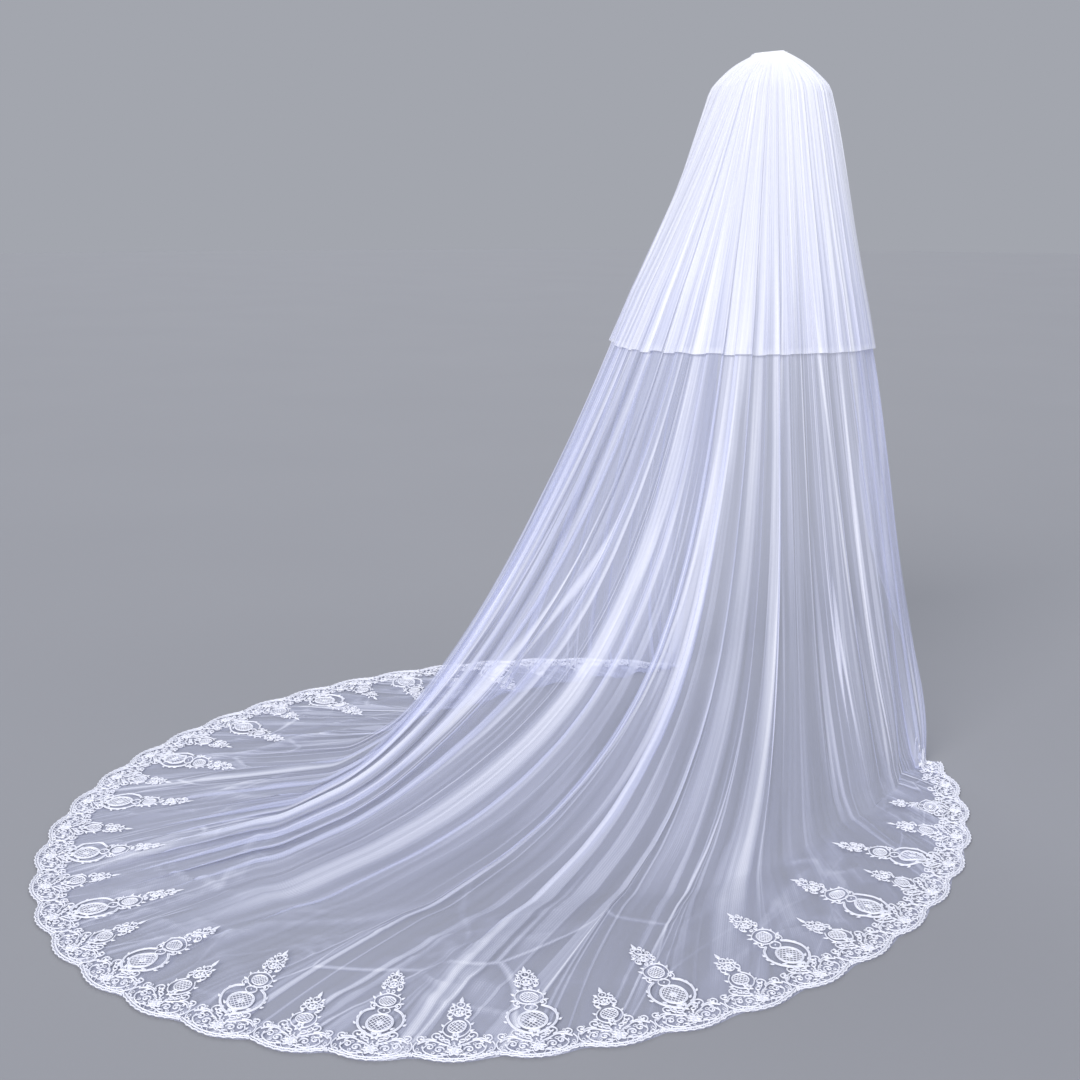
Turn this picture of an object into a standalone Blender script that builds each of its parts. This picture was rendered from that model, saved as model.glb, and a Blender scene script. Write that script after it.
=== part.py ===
"""A two-tier cathedral bridal veil with a lace hem, in the pose that it takes on a standing wearer.

Metres, +Z up. The origin is the middle of the comb's spine, at the back of the head. The wearer faces -Y,
so the train runs out along +Y and the wearer's right hand is at -X. A turn is an angle in degrees round the
comb: 0 points straight behind, and it grows towards the wearer's right. A stage says how far down the
cloth a point is: 0 is the comb, 1 the shoulders, 2 the line where the cloth meets the floor, 3 the hem.
"""

import math

import bpy
import numpy as np

# Driving sizes
COMB_HEIGHT = 1.60  # from the floor to the comb's spine
SHOULDER_DROP = 0.116  # from the comb down to the widest part of the shoulders
WRAP = 113.0  # the turn of each front edge
HEM_CENTRE = 0.71  # how far behind the comb the middle of the hem's oval lies
HEM_HALF_WIDTH = 0.91
HEM_HALF_LENGTH = 1.035
TIER_DROP = 0.665  # from the comb down to the upper tier's cut edge
TIER_WRAP = 106.0

TULLE = 0.0015  # wall of the tulle
LACE = 0.0010  # wall of the lace
GAP = 0.0003  # between pieces that are sewn together
FLOOR = -COMB_HEIGHT

# The cloth's line from the shoulders to the floor, on either side of straight behind.
# turn, reach at the shoulders, reach where it meets the floor, how much it sweeps in (1 is a straight line)
DRAPE = np.array(
    [
        (0.0, 0.110, 1.27, 1.75),
        (30.0, 0.125, 0.88, 1.50),
        (60.0, 0.150, 0.56, 1.15),
        (90.0, 0.170, 0.45, 0.90),
        (WRAP, 0.165, 0.42, 0.70),
    ]
)
EDGE_RETURN = 0.36  # how far the front edges turn back in, as a share of their reach
EDGE_TURN = 99.0  # the turn at which they start to
NECK_DOME = 0.35  # from the comb to the shoulders: 0 is a straight tent, 1 a round dome
FLOOR_EASE = 1.5  # packs the rows closer together near the floor

# The largest folds, from the wearer's left front edge round the back to the right one.
# turn of the crest, depth, lean (a share of the fold's width, towards the right)
FOLDS = (
    (-107.0, 0.016, -0.2),
    (-97.0, 0.020, 0.1),
    (-86.0, 0.018, 0.3),
    (-75.0, 0.022, -0.2),
    (-64.0, 0.019, 0.2),
    (-53.0, 0.024, -0.3),
    (-43.0, 0.020, 0.2),
    (-33.0, 0.025, 0.3),
    (-24.0, 0.022, -0.2),
    (-15.0, 0.026, 0.2),
    (-6.0, 0.022, -0.3),
    (2.0, 0.026, 0.3),
    (9.0, 0.024, 0.2),
    (17.0, 0.027, -0.3),
    (27.0, 0.024, 0.3),
    (38.0, 0.026, -0.3),
    (48.0, 0.022, 0.2),
    (58.0, 0.024, -0.2),
    (69.0, 0.020, 0.3),
    (81.0, 0.022, 0.2),
    (94.0, 0.018, -0.2),
    (107.0, 0.016, 0.2),
)
FOLD_LEAN = 0.5  # how far a lean of 1 carries the crest, in half widths
# How deep the folds are on the way down: stage, share of the full depth
FOLD_FADE = ((0.0, 0.0), (0.5, 0.25), (1.0, 0.55), (1.3, 1.0), (1.75, 0.9), (2.0, 0.18), (2.35, 0.0))
FLOOR_FOLD_TURN = 36.0  # folds run out onto the floor only nearer the train's middle than this

LONG_ROWS = (0.0, 0.45, 1.0, 1.13, 1.27, 1.42, 1.57, 1.72, 1.86, 2.0, 2.35, 3.0)
TIER_ROWS = 5
TIER_LIFT = (0.0025, 0.0080)  # the upper tier off the long one, at the comb and from the shoulders down

# The comb and the rolled casing that the gathers are sewn into
COMB_HALF_WIDTH = 0.050
COMB_WALL = 0.0018
COMB_BOW = 0.004  # how far the comb's ends curve towards the head
SPINE_HALF_HEIGHT = 0.004
TOOTH_LENGTH = 0.036
TEETH = 20
TOOTH_SHARE = 0.45  # of the spacing from tooth to tooth
CASING_RADIUS = 0.0045
CASING_HALF_WIDTH = 0.044
CASING_POINTS = 9

# The lace on the hem
SCALLOPS = 38
SCALLOP_DEPTH = 0.016
SCALLOP_COLUMNS = 6
BORDER_DEPTH = 0.070  # from the hem to the border's inner edge
TALL_HEIGHT = 0.220  # of a tall spray, beyond the border
SHORT_HEIGHT = 0.125
CORNER_HEIGHT = 0.105  # the tall sprays by the front corners, where the cloth starts to rise
TALL_HALF_WIDTH = 0.043
SHORT_HALF_WIDTH = 0.026
FLAT_TURN = 85.0  # past this turn only the short sprays fit on the cloth that lies flat
# A spray's outline: share of its height, share of its half width
SPRAY = ((0.0, 0.55), (0.14, 1.0), (0.34, 0.95), (0.47, 0.42), (0.62, 0.50), (0.80, 0.26), (1.0, 0.10))
SHORT_SPRAY = ((0.0, 0.60), (0.25, 1.0), (0.50, 0.70), (0.72, 0.34), (1.0, 0.12))
HEM_SAMPLES = 2001

WHITE_TULLE = (0.86, 0.87, 0.95, 1.0)
WHITE_LACE = (0.90, 0.90, 0.93, 1.0)
WHITE_SATIN = (0.88, 0.88, 0.92, 1.0)
COMB_SILVER = (0.78, 0.78, 0.80, 1.0)


def new_material(name, colour, roughness, metallic=0.0, alpha=1.0):
    material = bpy.data.materials.new(name)
    material.use_nodes = True
    shader = material.node_tree.nodes["Principled BSDF"]
    shader.inputs["Base Color"].default_value = colour
    shader.inputs["Roughness"].default_value = roughness
    shader.inputs["Metallic"].default_value = metallic
    shader.inputs["Alpha"].default_value = alpha
    return material


def add_mesh(name, points, faces, material):
    mesh = bpy.data.meshes.new(name)
    mesh.from_pydata([tuple(map(float, p)) for p in points], [], faces)
    mesh.materials.append(material)
    part = bpy.data.objects.new(name, mesh)
    parts.objects.link(part)
    return part


def smooth_between(x, table, column):
    """Reads one column of a table at x, along a smooth curve through its rows (Catmull-Rom)."""
    at, value = table[:, 0], table[:, column]
    slope = np.gradient(value, at)
    slope[0] = 0.0
    x = np.clip(np.abs(x), at[0], at[-1])
    row = np.clip(np.searchsorted(at, x, side="right") - 1, 0, len(at) - 2)
    width = at[row + 1] - at[row]
    t = (x - at[row]) / width
    return (
        value[row] * (1 + 2 * t) * (1 - t) ** 2
        + slope[row] * width * t * (1 - t) ** 2
        + value[row + 1] * t * t * (3 - 2 * t)
        + slope[row + 1] * width * t * t * (t - 1)
    )


def ray(turn):
    """The level direction at a turn, as x and y."""
    angle = np.radians(turn)
    return -np.sin(angle), np.cos(angle)


def hem_reach(turn):
    """The level distance from the comb to the hem's oval."""
    angle = np.radians(turn)
    a = (np.sin(angle) / HEM_HALF_WIDTH) ** 2 + (np.cos(angle) / HEM_HALF_LENGTH) ** 2
    b = np.cos(angle) * HEM_CENTRE / HEM_HALF_LENGTH**2
    c = (HEM_CENTRE / HEM_HALF_LENGTH) ** 2 - 1
    return (b + np.sqrt(b * b - a * c)) / a


def comb_point(turn):
    """Where the gathers at a turn leave the casing."""
    share = turn / WRAP
    outside = COMB_WALL / 2 + GAP + 2 * CASING_RADIUS + 0.0004
    return -COMB_HALF_WIDTH * share, outside - COMB_BOW * share**2


def base_point(turn, stage):
    """The cloth with no folds: x, y and z. turn and stage are arrays of one shape."""
    shoulder, touch, sweep = (smooth_between(turn, DRAPE, c) for c in (1, 2, 3))
    top = FLOOR + TULLE / 2
    neck = np.clip(stage, 0, 1)
    domed_out = neck + NECK_DOME * (np.sin(neck * math.pi / 2) - neck)
    domed_down = neck + NECK_DOME * (1 - np.cos(neck * math.pi / 2) - neck)
    left = (1 - np.clip(stage - 1, 0, 1)) ** FLOOR_EASE  # the share of the fall still to go
    hang = shoulder + (touch - shoulder) * (1 - left ** (1 / sweep))
    edge = np.clip((np.abs(turn) - EDGE_TURN) / (WRAP - EDGE_TURN), 0, 1) ** 2
    hang = hang * (1 - EDGE_RETURN * edge * np.sin(math.pi * (1 - left)) ** 2)
    out = touch + (hem_reach(turn) - touch) * np.clip(stage - 2, 0, 1)
    reach = np.where(stage < 1, shoulder * domed_out, np.where(stage < 2, hang, out))
    z = np.where(stage < 1, -SHOULDER_DROP * domed_down, top - (SHOULDER_DROP + top) * left)
    dx, dy = ray(turn)
    cx, cy = comb_point(turn)
    return cx * (1 - neck) + dx * reach, cy * (1 - neck) + dy * reach, z


def fold_at(turn):
    """Each turn's place in its fold (-1 to 1, 0 at the crest), and the fold's depth, lean and half width."""
    crest = np.array([row[0] for row in FOLDS])
    ends = np.concatenate(([-WRAP], (crest[1:] + crest[:-1]) / 2, [WRAP]))
    row = np.clip(np.searchsorted(ends, turn, side="right") - 1, 0, len(crest) - 1)
    low, high = crest[row] - ends[row], ends[row + 1] - crest[row]
    place = np.where(turn < crest[row], (turn - crest[row]) / low, (turn - crest[row]) / high)
    table = np.array(FOLDS)
    return place, table[row, 1], table[row, 2], (low + high) / 2


def veil_point(turn, stage, lift=0.0):
    """A point of the draped cloth, moved outwards by lift. turn and stage are arrays of one shape."""
    place, depth, lean, half = fold_at(turn)
    share = np.interp(stage, *zip(*FOLD_FADE))
    on_floor = np.cos(math.pi / 2 * np.clip(turn / FLOOR_FOLD_TURN, -1, 1))
    share = share * np.where(stage >= 2.0, on_floor, 1.0)
    crest = np.cos(place * math.pi / 2) ** 2 * share
    leant = turn + lean * half * FOLD_LEAN * crest
    x, y, z = base_point(leant, stage)
    step = 1e-3
    x0, y0, z0 = base_point(leant, np.maximum(stage - step, 0))
    x1, y1, z1 = base_point(leant, np.minimum(stage + step, 3))
    dx, dy = ray(leant)
    along, fall = (x1 - x0) * dx + (y1 - y0) * dy, z0 - z1
    level, up = np.array([fall, along]) / np.hypot(along, fall)  # the cloth's outward direction
    out = depth * crest + lift
    return np.stack([x + dx * level * out, y + dy * level * out, z + up * out], axis=-1)


def fold_columns(limit):
    """The turns of the mesh's columns: each fold's start, flanks and crest, as far round as limit."""
    crest = [row[0] for row in FOLDS]
    ends = [-WRAP] + [(a + b) / 2 for a, b in zip(crest, crest[1:])] + [WRAP]
    turns = [ends[0]]
    for low, middle, high in zip(ends, crest, ends[1:]):
        turns += [(low + middle) / 2, middle, (middle + high) / 2, high]
    inside = [t for t in turns if abs(t) < limit - 1.0]
    return np.array([-limit] + inside + [limit])


def add_sheet(name, turns, stages, lift, material):
    """A sheet of cloth through rows of points, one row for each stage, with its wall from a Solidify."""
    grid = np.stack([veil_point(turns, np.full(len(turns), s), lift(s)) for s in stages])
    across = len(turns)
    faces = [
        (r * across + c, (r + 1) * across + c, (r + 1) * across + c + 1, r * across + c + 1)
        for r in range(len(stages) - 1)
        for c in range(across - 1)
    ]
    sheet = add_mesh(name, grid.reshape(-1, 3), faces, material)
    wall = sheet.modifiers.new("wall", "SOLIDIFY")
    wall.thickness = TULLE
    wall.offset = 0.0
    return sheet


def add_long_tier(material):
    return add_sheet("long_tier", fold_columns(WRAP), LONG_ROWS, lambda s: 0.0, material)


def add_upper_tier(material):
    """The short tier lies on the long one, so it is made from that one's points, moved outwards."""
    left = 1 - (TIER_DROP - SHOULDER_DROP) / (COMB_HEIGHT - SHOULDER_DROP)
    last = 2 - left ** (1 / FLOOR_EASE)
    stages = [0.0, 0.45, 1.0] + [1 + (last - 1) * k / (TIER_ROWS - 2) for k in range(1, TIER_ROWS - 1)]
    lift = lambda s: float(np.interp(s, (0.0, 1.0), TIER_LIFT))
    return add_sheet("upper_tier", fold_columns(TIER_WRAP), stages, lift, material)


def add_casing(material):
    """The gathers' top edge, rolled and sewn down along the comb's spine."""
    curve = bpy.data.curves.new("gather_casing", "CURVE")
    curve.dimensions = "3D"
    curve.bevel_depth = CASING_RADIUS
    curve.bevel_resolution = 2
    curve.use_fill_caps = True
    line = curve.splines.new("POLY")
    line.points.add(CASING_POINTS - 1)
    for k in range(CASING_POINTS):
        x = CASING_HALF_WIDTH * (2 * k / (CASING_POINTS - 1) - 1)
        y = COMB_WALL / 2 + GAP + CASING_RADIUS - COMB_BOW * (x / COMB_HALF_WIDTH) ** 2
        line.points[k].co = (x, y, 0.0, 1.0)
    curve.materials.append(material)
    casing = bpy.data.objects.new("gather_casing", curve)
    parts.objects.link(casing)
    return casing


def add_comb(material):
    """One flat plate with its teeth cut into it, bowed to the head."""
    pitch = 2 * COMB_HALF_WIDTH / TEETH
    half = pitch * TOOTH_SHARE / 2
    gum, tip = -SPINE_HALF_HEIGHT, -SPINE_HALF_HEIGHT - TOOTH_LENGTH
    taper = 0.5
    rows = []  # x, and the plate's lowest z there, from left to right
    for k in range(TEETH):
        middle = -COMB_HALF_WIDTH + pitch * (k + 0.5)
        for x, z in ((-half, gum), (-half * taper, tip), (half * taper, tip), (half, gum)):
            rows.append((middle + x, z))
    outline = [(-COMB_HALF_WIDTH, gum)] + rows + [(COMB_HALF_WIDTH, gum)]
    outline += [(COMB_HALF_WIDTH - pitch * k, SPINE_HALF_HEIGHT) for k in range(TEETH + 1)]
    points = []
    for side in (-1, 1):
        for x, z in outline:
            points.append((x, side * COMB_WALL / 2 - COMB_BOW * (x / COMB_HALF_WIDTH) ** 2, z))
    count = len(outline)
    spine_top = count - 1  # the outline's last point is over its first
    front = []
    for k in range(TEETH):
        first = 1 + 4 * k  # this tooth's first point
        front.append((first, first + 1, first + 2, first + 3))
        before = 0 if k == 0 else first - 1
        front.append((before, first, first + 3, spine_top - k - 1, spine_top - k))
    front.append((first + 3, first + 4, spine_top - TEETH))
    faces = front + [tuple(count + i for i in reversed(face)) for face in front]
    faces += [(i, count + i, count + (i + 1) % count, (i + 1) % count) for i in range(count)]
    return add_mesh("comb", points, faces, material)


def hem_line():
    """The hem's oval as turns, floor points, the way in from each, and the length to each from the tail."""
    turn = np.linspace(-WRAP, WRAP, HEM_SAMPLES)
    dx, dy = ray(turn)
    point = np.stack([dx, dy], axis=1) * hem_reach(turn)[:, None]
    inward = -(point - (0.0, HEM_CENTRE)) / (HEM_HALF_WIDTH**2, HEM_HALF_LENGTH**2)
    inward /= np.linalg.norm(inward, axis=1)[:, None]
    length = np.concatenate(([0.0], np.cumsum(np.linalg.norm(np.diff(point, axis=0), axis=1))))
    return turn, point, inward, length - length[-1] / 2


def on_hem(hem, along, depth):
    """The floor point a length along the hem from the tail and a depth in from its edge."""
    turn, point, inward, length = hem
    at = [np.interp(along, length, point[:, i]) for i in (0, 1)]
    way = [np.interp(along, length, inward[:, i]) for i in (0, 1)]
    return at[0] + way[0] * depth, at[1] + way[1] * depth


def add_lace(name, hem, rows, material):
    """A flat piece of lace on the cloth. Each row is one cut across it: two (length, depth) ends."""
    low = FLOOR + TULLE + GAP
    points = []
    for z in (low, low + LACE):
        for ends in rows:
            points += [(*on_hem(hem, along, depth), z) for along, depth in ends]
    count = 2 * len(rows)
    rim = list(range(0, count, 2)) + list(range(count - 1, 0, -2))
    bottom = [(2 * r, 2 * r + 1, 2 * r + 3, 2 * r + 2) for r in range(len(rows) - 1)]
    faces = bottom + [tuple(count + i for i in reversed(face)) for face in bottom]
    faces += [(a, b, count + b, count + a) for a, b in zip(rim, rim[1:] + rim[:1])]
    return add_mesh(name, points, faces, material)


def add_border(hem, material):
    """The scalloped border, in a left and a right half that meet behind the wearer."""
    half = hem[3][-1]
    pitch = 2 * half / SCALLOPS
    for side, name in ((-1, "lace_border_left"), (1, "lace_border_right")):
        rows = []
        steps = SCALLOPS // 2 * SCALLOP_COLUMNS
        for k in range(steps + 1):
            along = GAP / 2 + (half - GAP) * k / steps
            notch = SCALLOP_DEPTH * (1 - abs(math.cos(math.pi * along / pitch)))
            rows.append(((side * along, notch), (side * along, BORDER_DEPTH)))
        add_lace(name, hem, rows if side > 0 else [row[::-1] for row in rows], material)


def add_sprays(hem, material):
    """The sprays that stand on the border: a short one at the tail, then tall and short in turn."""
    repeat = 4 * hem[3][-1] / SCALLOPS
    most = int(hem[3][-1] / repeat - 0.2)
    for side, hand in ((-1, "left"), (1, "right")):
        for step in range(0 if side > 0 else 1, 2 * most):  # the tail's own is on the right
            tall = step % 2 == 1
            middle = side * step * repeat / 2
            flat = np.interp(abs(middle), hem[3], np.abs(hem[0])) < FLAT_TURN
            height = (TALL_HEIGHT if flat else CORNER_HEIGHT) if tall else SHORT_HEIGHT
            half = (TALL_HALF_WIDTH if flat else SHORT_HALF_WIDTH) if tall else SHORT_HALF_WIDTH
            rows = [
                tuple((middle + edge * half * w, BORDER_DEPTH + GAP + height * h) for edge in (1, -1))
                for h, w in (SPRAY if tall else SHORT_SPRAY)
            ]
            add_lace(f"{'tall' if tall else 'short'}_spray_{hand}_{step:02d}", hem, rows, material)


for leftover in list(bpy.data.objects):
    bpy.data.objects.remove(leftover, do_unlink=True)
parts = bpy.data.collections.new("bridal_veil")
bpy.context.scene.collection.children.link(parts)

tulle = new_material("tulle", WHITE_TULLE, 0.55, alpha=0.45)
lace = new_material("lace", WHITE_LACE, 0.60)
add_long_tier(tulle)
add_upper_tier(tulle)
add_casing(new_material("satin", WHITE_SATIN, 0.45))
add_comb(new_material("comb_metal", COMB_SILVER, 0.30, metallic=1.0))
hem = hem_line()
add_border(hem, lace)
add_sprays(hem, lace)
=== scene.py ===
# %% [markdown]
# # A two-tier cathedral veil
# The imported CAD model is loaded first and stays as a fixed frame: every piece made below takes its place
# from it. The wearer isn't modelled. The origin is the comb at the back of the head, the wearer faces -Y,
# and the train runs out along +Y.

# %% Load the frame
import math

import bpy
import numpy as np
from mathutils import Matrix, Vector
from mathutils.bvhtree import BVHTree


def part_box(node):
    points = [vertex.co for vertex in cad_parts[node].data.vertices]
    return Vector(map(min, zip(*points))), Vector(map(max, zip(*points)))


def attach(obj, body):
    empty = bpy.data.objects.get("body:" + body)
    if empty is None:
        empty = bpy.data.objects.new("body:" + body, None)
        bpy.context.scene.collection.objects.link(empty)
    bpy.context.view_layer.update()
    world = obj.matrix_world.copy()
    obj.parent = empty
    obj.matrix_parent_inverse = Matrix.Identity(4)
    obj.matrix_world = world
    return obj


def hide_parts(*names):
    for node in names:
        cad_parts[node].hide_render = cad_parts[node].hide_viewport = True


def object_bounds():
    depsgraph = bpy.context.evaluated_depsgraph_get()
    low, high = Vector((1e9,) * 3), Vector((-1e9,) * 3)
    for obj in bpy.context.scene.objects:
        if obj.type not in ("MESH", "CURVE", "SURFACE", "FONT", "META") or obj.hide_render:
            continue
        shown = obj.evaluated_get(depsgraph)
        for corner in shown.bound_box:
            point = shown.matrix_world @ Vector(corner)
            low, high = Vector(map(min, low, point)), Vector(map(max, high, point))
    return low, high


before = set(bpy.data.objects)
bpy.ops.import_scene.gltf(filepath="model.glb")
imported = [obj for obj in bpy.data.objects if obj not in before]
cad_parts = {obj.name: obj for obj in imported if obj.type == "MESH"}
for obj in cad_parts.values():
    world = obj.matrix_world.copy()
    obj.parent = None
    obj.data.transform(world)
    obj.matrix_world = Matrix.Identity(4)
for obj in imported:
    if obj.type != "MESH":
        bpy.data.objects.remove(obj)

cad_box = [list(corner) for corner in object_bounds()]
print("CAD box", cad_box)

# %% [markdown]
# ## The cut and how it hangs
# A long veil is an oval of tulle gathered to a few centimetres at the comb. It could be thrown over a head
# and shoulders with a cloth simulation, but a simulation of five metres of hem is slow and puts its folds
# where it likes. Here each thread line from the comb to the hem is drawn by a rule instead: round over the
# shoulders, straight or sweeping down to the floor, then flat out to the oval hem. A turn is the angle round
# the comb in degrees, 0 straight behind. A stage runs 0 comb, 1 shoulders, 2 floor, 3 hem.

# %% Sizes of the veil, in metres
COMB_HEIGHT = -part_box("long_tier")[0][2]
FLOOR = -COMB_HEIGHT
TULLE = 0.0015
CLOTH_ON_FLOOR = FLOOR + TULLE / 2
COMB_HALF_WIDTH = 0.050
COMB_BOW = 0.004
GATHERS_BEHIND = 0.0106
SHOULDER_DROP = 0.116
TIER_DROP = 0.665
HEM_CENTRE = 0.71
HEM_HALF_WIDTH = 0.91
HEM_HALF_LENGTH = 1.035
SCALLOPS = 38
SCALLOP_DEPTH = 0.016
NET_INSIDE_LACE = 0.002
# How far round the comb each tier goes to either side, in degrees
WRAP = 113.0
TIER_WRAP = 106.0
print(f"comb {COMB_HEIGHT:.2f} m over the floor, tail {HEM_CENTRE + HEM_HALF_LENGTH:.3f} m behind it")


# %% The oval hem and its scallops
def ray(turn):
    """The direction of a turn, seen from above."""
    angle = np.radians(turn)
    return -np.sin(angle), np.cos(angle)


def hem_reach(turn):
    """How far out from the comb the oval hem lies."""
    angle = np.radians(turn)
    a = (np.sin(angle) / HEM_HALF_WIDTH) ** 2 + (np.cos(angle) / HEM_HALF_LENGTH) ** 2
    b = np.cos(angle) * HEM_CENTRE / HEM_HALF_LENGTH**2
    c = (HEM_CENTRE / HEM_HALF_LENGTH) ** 2 - 1
    return (b + np.sqrt(b * b - a * c)) / a


hem_turn = np.linspace(-WRAP, WRAP, 4001)
hem_point = np.stack(ray(hem_turn), axis=1) * hem_reach(hem_turn)[:, None]
hem_inward = -(hem_point - (0.0, HEM_CENTRE)) / (HEM_HALF_WIDTH**2, HEM_HALF_LENGTH**2)
hem_inward /= np.linalg.norm(hem_inward, axis=1)[:, None]
hem_length = np.concatenate(([0.0], np.cumsum(np.linalg.norm(np.diff(hem_point, axis=0), axis=1))))
hem_length -= hem_length[-1] / 2
HALF_HEM = hem_length[-1]
PITCH = 2 * HALF_HEM / SCALLOPS
print(f"hem {2 * HALF_HEM:.2f} m round, {SCALLOPS} scallops of {1000 * PITCH:.0f} mm")


def notch(along):
    """How far in the scalloped edge lies at a length along the hem."""
    return SCALLOP_DEPTH * (1 - np.abs(np.cos(np.pi * along / PITCH)))


# %% The cloth with no folds
# turn, how far out at the shoulders, how far out where it lands, how much it sweeps
DRAPE = np.array(
    [
        (0.0, 0.110, 1.27, 1.75),
        (30.0, 0.125, 0.93, 1.53),
        (60.0, 0.150, 0.60, 1.19),
        (90.0, 0.170, 0.455, 0.84),
        (WRAP, 0.165, 0.445, 0.58),
    ]
)
# The hanging cloth comes back in near the front edges: by how much, and from which turn
EDGE_RETURN = 0.38
EDGE_TURN = 99.0
# How round the cloth is over the head, and how its thread lines are shared out on the way down
NECK_DOME = 0.35
FLOOR_EASE = 1.5
# The line where it lands wanders: share of the way out, degrees to a radian, start
LANDING_WANDER = ((0.020, 6.1, 1.0), (0.012, 2.7, 0.0))
# It is eased over the shoulders and where it lands: stage, how far round that, by how much
EASES = ((1.02, 0.40, 0.38), (1.97, 0.13, 0.085))
EASE_STEPS = ((-1, 0.25), (-0.5, 0.2), (0, 0.1), (0.5, 0.2), (1, 0.25))


def smooth_between(x, table, column):
    """Reads one column of a table as a smooth curve of its first column, level at 0."""
    at, value = table[:, 0], table[:, column]
    slope = np.gradient(value, at)
    slope[0] = 0.0
    x = np.clip(np.abs(x), at[0], at[-1])
    row = np.clip(np.searchsorted(at, x, side="right") - 1, 0, len(at) - 2)
    width = at[row + 1] - at[row]
    t = (x - at[row]) / width
    return (
        value[row] * (1 + 2 * t) * (1 - t) ** 2
        + slope[row] * width * t * (1 - t) ** 2
        + value[row + 1] * t * t * (3 - 2 * t)
        + slope[row + 1] * width * t * t * (t - 1)
    )


def plain_point(turn, stage):
    shoulder, touch, sweep = (smooth_between(turn, DRAPE, column) for column in (1, 2, 3))
    touch = touch * (1 + sum(share * np.sin(turn / slow + start) for share, slow, start in LANDING_WANDER))
    neck = np.clip(stage, 0, 1)
    domed_out = neck + NECK_DOME * (np.sin(neck * math.pi / 2) - neck)
    domed_down = neck + NECK_DOME * (1 - np.cos(neck * math.pi / 2) - neck)
    left = (1 - np.clip(stage - 1, 0, 1)) ** FLOOR_EASE
    hang = shoulder + (touch - shoulder) * (1 - left ** (1 / sweep))
    edge = np.clip((np.abs(turn) - EDGE_TURN) / (WRAP - EDGE_TURN), 0, 1) ** 2
    hang = hang * (1 - EDGE_RETURN * edge * np.sin(math.pi * (1 - left)) ** 2)
    train = np.clip(stage - 2, 0, 1)
    along = np.interp(turn, hem_turn, hem_length)
    out = touch + (hem_reach(turn) - touch) * train - (notch(along) + NET_INSIDE_LACE) * train**8
    reach = np.where(stage < 1, shoulder * domed_out, np.where(stage < 2, hang, out))
    down = CLOTH_ON_FLOOR - (SHOULDER_DROP + CLOTH_ON_FLOOR) * left
    z = np.where(stage < 1, -SHOULDER_DROP * domed_down, down)
    dx, dy = ray(turn)
    share = turn / WRAP
    gather_x, gather_y = -COMB_HALF_WIDTH * share, GATHERS_BEHIND - COMB_BOW * share**2
    return np.array([gather_x * (1 - neck) + dx * reach, gather_y * (1 - neck) + dy * reach, z])


def base_point(turn, stage):
    """The same cloth, eased by averaging a little way up and down each thread line."""
    ease = sum(most * np.exp(-(((stage - at) / near) ** 2)) for at, near, most in EASES)
    x, y, z = sum(
        weight * plain_point(turn, np.clip(stage + step * ease, 0, 3)) for step, weight in EASE_STEPS
    )
    return x, y, np.maximum(z, CLOTH_ON_FLOOR)


print(f"straight behind, the cloth lands {base_point(0.0, 2.0)[1]:.2f} m from the comb")


# %% [markdown]
# ## Folds
# Gathered cloth hangs in pipes: a wide crest that bulges over narrow flanks, so that three layers lie over
# each other there and look whiter. Sheer cloth shows its folds by that doubling more than by shade, so the
# flanks really tuck under here. Between the large folds run fine pleats, and on the floor the cloth keeps
# low creases. The large ones are listed; the fine ones come from a seeded generator, so that they
# are the same on each run.

# %% Place the large folds
# turn of the crest, depth, lean, roll (above 1, the flanks tuck under)
FOLDS = np.array(
    [
        (-107.0, 0.010, -0.2, 0.8),
        (-97.0, 0.014, 0.1, 1.6),
        (-86.0, 0.012, 0.3, 0.9),
        (-75.0, 0.018, -0.2, 1.7),
        (-64.0, 0.012, 0.2, 0.8),
        (-53.0, 0.020, -0.3, 2.0),
        (-43.0, 0.014, 0.2, 1.0),
        (-33.0, 0.022, 0.3, 1.7),
        (-24.0, 0.017, -0.2, 1.2),
        (-15.0, 0.022, 0.2, 1.1),
        (-6.0, 0.018, -0.3, 1.3),
        (2.0, 0.025, 0.3, 1.3),
        (9.0, 0.022, 0.2, 1.7),
        (17.0, 0.020, -0.3, 1.2),
        (27.0, 0.024, 0.5, 2.0),
        (38.0, 0.022, -0.4, 2.2),
        (48.0, 0.016, 0.2, 1.6),
        (58.0, 0.011, -0.2, 0.9),
        (69.0, 0.012, 0.3, 1.1),
        (81.0, 0.010, 0.2, 0.8),
        (94.0, 0.013, -0.2, 1.2),
        (107.0, 0.009, 0.2, 0.6),
    ]
)
FOLD_LEAN = 0.5
# How much of the depth and of the roll is there: stage, share
FOLD_FADE = (
    (0.0, 0.0), (0.5, 0.10), (1.0, 0.22), (1.25, 0.50), (1.45, 0.95), (1.75, 0.95),
    (1.95, 0.62), (2.1, 0.46), (2.4, 0.26), (2.7, 0.08), (2.88, 0.0),
)
ROLL_FADE = ((0.0, 0.0), (0.6, 0.2), (1.2, 0.8), (1.8, 1.0), (2.1, 0.85), (2.5, 0.45), (2.85, 0.0))
# How many layers thick the gathering makes the cloth: stage, layers
GATHERS = (
    (0.0, 9.0), (0.15, 6.0), (0.4, 4.2), (0.8, 3.1), (1.1, 2.2),
    (1.35, 1.35), (1.6, 1.0), (2.1, 1.0), (3.0, 1.1),
)
# Which way the folds are swept round before they land: turn, degrees
SWEEP = (
    (-113.0, 0.0), (-95.0, -10.0), (-85.0, -11.0), (-60.0, -6.0), (-45.0, 0.0), (-25.0, 1.0),
    (-10.0, -5.0), (0.0, -11.0), (12.0, -18.0), (22.0, -22.0), (32.0, -17.0), (42.0, -10.0),
    (50.0, -6.0), (57.0, 2.0), (66.0, 7.0), (84.0, 16.0), (97.0, 11.0), (113.0, 0.0),
)
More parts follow.
